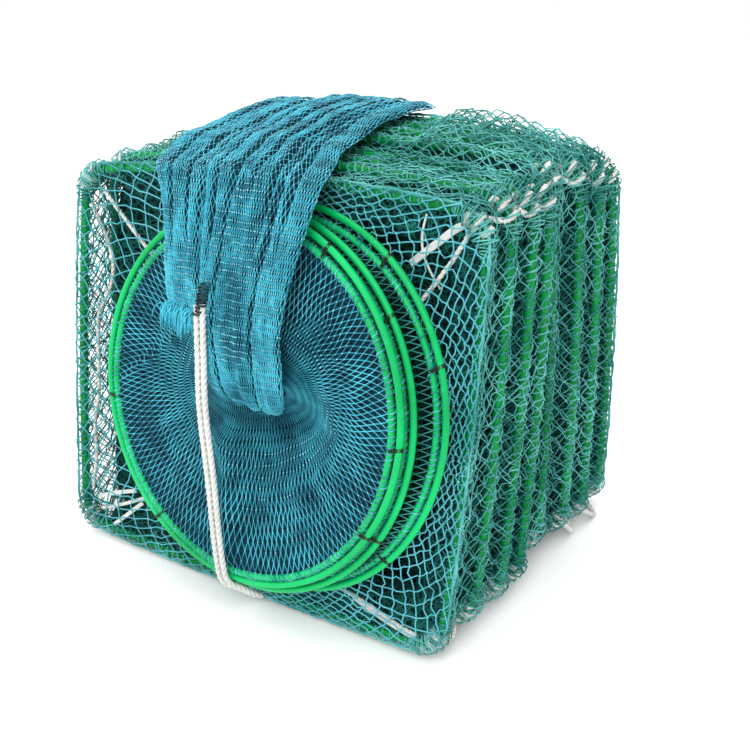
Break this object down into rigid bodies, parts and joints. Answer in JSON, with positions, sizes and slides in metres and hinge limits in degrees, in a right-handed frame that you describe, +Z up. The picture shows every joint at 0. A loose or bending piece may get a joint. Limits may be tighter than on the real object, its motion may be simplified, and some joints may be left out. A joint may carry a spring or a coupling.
{
  "type": "collapsible fish trap net, folded flat and tied",
  "caption": "Folded fish trap: wire frames in a bellows of green net, hoops at the mouth, blue tail net thrown over the top and tied down.",
  "frame": {"origin": "on the floor under the middle of the folded trap, hoops and corner ropes included", "axes": "+X to the right along the mouth's side, +Y from the mouth to the rear frame, +Z up"},
  "size_m": [0.4582, 0.3355, 0.3965],
  "materials": {
    "frame_wire": "semi-gloss coat on steel wire",
    "hoop_wire": "glossy",
    "body_net": "knotted twine",
    "tail_net": "fine knotted twine",
    "rope": "twisted cord"
  },
  "bodies": {
    "root": {"frame_1": "frame_wire", "frame_2": "frame_wire", "frame_3": "frame_wire", "frame_4": "frame_wire", "frame_5": "frame_wire", "frame_6": "frame_wire", "frame_7": "frame_wire", "frame_8": "frame_wire", "net_body": "body_net", "net_back": "body_net", "net_front": "body_net", "net_collar": "body_net", "hoop_rear_outer": "hoop_wire", "hoop_rear_inner": "hoop_wire", "hoop_middle_outer": "hoop_wire", "hoop_middle_inner": "hoop_wire", "hoop_front_outer": "hoop_wire", "hoop_front_inner": "hoop_wire", "net_tail": "tail_net", "corner_rope_top_left": "rope", "corner_rope_top_right": "rope", "corner_rope_bottom_left": "rope", "corner_rope_bottom_right": "rope", "tie_rope_left": "rope", "tie_rope_right": "rope", "brace_line_top_left": "rope", "brace_line_top_right": "rope", "brace_line_bottom_left": "rope", "brace_line_bottom_right": "rope", "slack_line_left": "rope"}
  },
  "joints": []
}
